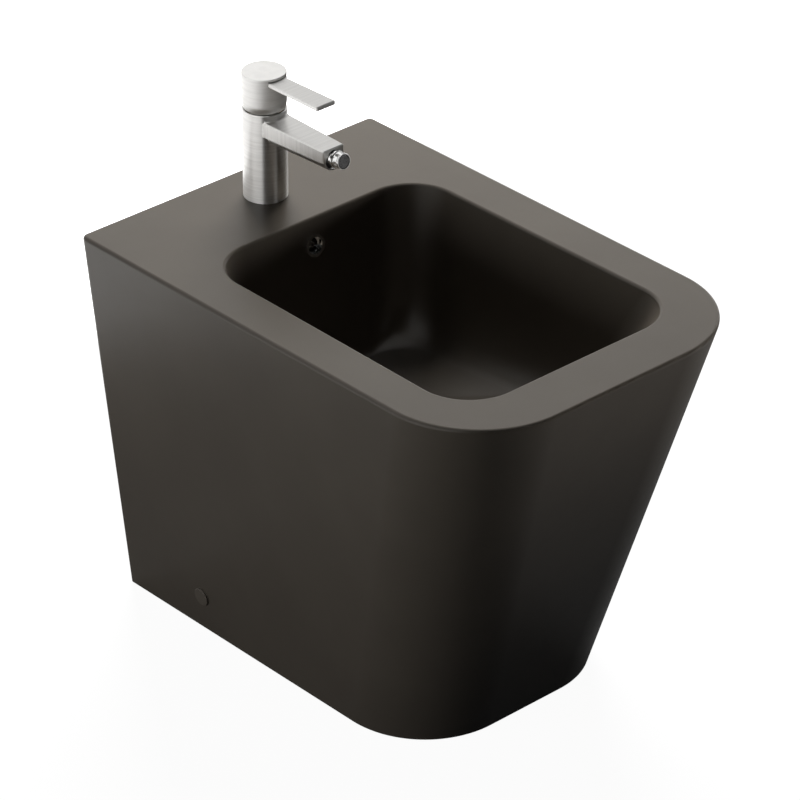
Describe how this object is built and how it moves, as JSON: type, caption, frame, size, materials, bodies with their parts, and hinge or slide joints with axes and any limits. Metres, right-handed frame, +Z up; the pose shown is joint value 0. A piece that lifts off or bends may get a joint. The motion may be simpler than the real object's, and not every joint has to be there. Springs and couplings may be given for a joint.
{
  "type": "bidet",
  "caption": "Floor standing bidet with an open basin, a single lever tap with a swivel spray outlet, a push plug waste and an overflow, on hidden floor brackets.",
  "frame": {"origin": "middle of the width and of the depth of the rim, on the floor", "axes": "+X to the right seen from the front, -Y to the user's side, +Y to the wall, +Z up"},
  "size_m": [0.36, 0.53, 0.529],
  "materials": {
    "glaze": "matt",
    "brushed_metal": "brushed",
    "polished_metal": "polished",
    "brass": "machined",
    "steel": "zinc plated",
    "black_rubber": "matt",
    "white_plastic": "moulded",
    "dark_plastic": "moulded",
    "disc_ceramic": "lapped",
    "cap_plastic": "matt, coloured as the china"
  },
  "bodies": {
    "bidet": {"china_body": "glaze", "overflow_ring": "polished_metal", "overflow_clip": "polished_metal", "waste_body": "polished_metal", "waste_upper_seal": "black_rubber", "waste_lower_gasket": "black_rubber", "waste_washer": "white_plastic", "waste_nut": "brass", "click_housing": "white_plastic", "click_spring": "steel", "fixing_caps": "cap_plastic", "fixing_sleeves": "white_plastic", "fixing_screws": "steel", "floor_brackets": "white_plastic", "tap_body": "brushed_metal", "tap_base_seal": "black_rubber", "mounting_stud": "brass", "clamp_gasket": "black_rubber", "clamp_plate": "steel", "mounting_nut": "brass", "cartridge_housing": "white_plastic", "cartridge_base": "white_plastic", "fixed_disc": "disc_ceramic", "cartridge_nut": "brass", "swivel_socket": "polished_metal", "swivel_washer": "black_rubber"},
    "plug": {"plug_cap": "polished_metal", "plug_seal": "black_rubber", "plug_spindle": "steel"},
    "carrier": {"cartridge_carrier": "dark_plastic", "pivot_pin": "steel"},
    "lever": {"lever_stem": "steel", "lever_hub": "brushed_metal", "lever_bar": "brushed_metal", "lever_screw": "steel", "grub_screw": "steel"},
    "discs": {"moving_disc": "disc_ceramic", "disc_driver": "white_plastic"},
    "liner": {"swivel_liner": "dark_plastic"},
    "aerator": {"swivel_ball": "polished_metal", "aerator_housing": "polished_metal", "aerator_washer": "black_rubber", "aerator_insert": "dark_plastic"}
  },
  "joints": [
    {"name": "plug_push", "type": "slide", "parent": "bidet", "child": "plug", "axis": [0, 0, 1], "range_m": [0, 0.008], "deforming": ["click_spring"]},
    {"name": "lever_swing", "type": "hinge", "parent": "bidet", "child": "carrier", "pos_m": [0, 0.2108, 0.5], "axis": [0, 0, 1], "range_deg": [-45, 45]},
    {"name": "lever_lift", "type": "hinge", "parent": "carrier", "child": "lever", "pos_m": [0, 0.2108, 0.5], "axis": [-1, 0, 0], "range_deg": [0, 20]},
    {"name": "disc_slide", "type": "slide", "parent": "carrier", "child": "discs", "axis": [0, -1, 0], "range_m": [0, 0.0093]},
    {"name": "aerator_yaw", "type": "hinge", "parent": "bidet", "child": "liner", "pos_m": [0, 0.1182, 0.474], "axis": [0, 0, 1], "range_deg": [-11, 11]},
    {"name": "aerator_pitch", "type": "hinge", "parent": "liner", "child": "aerator", "pos_m": [0, 0.1182, 0.474], "axis": [1, 0, 0], "range_deg": [-2, 20]}
  ],
  "couplings": [
    {"joint": "disc_slide", "follows": "lever_lift", "m_per_rad": 0.02634}
  ]
}
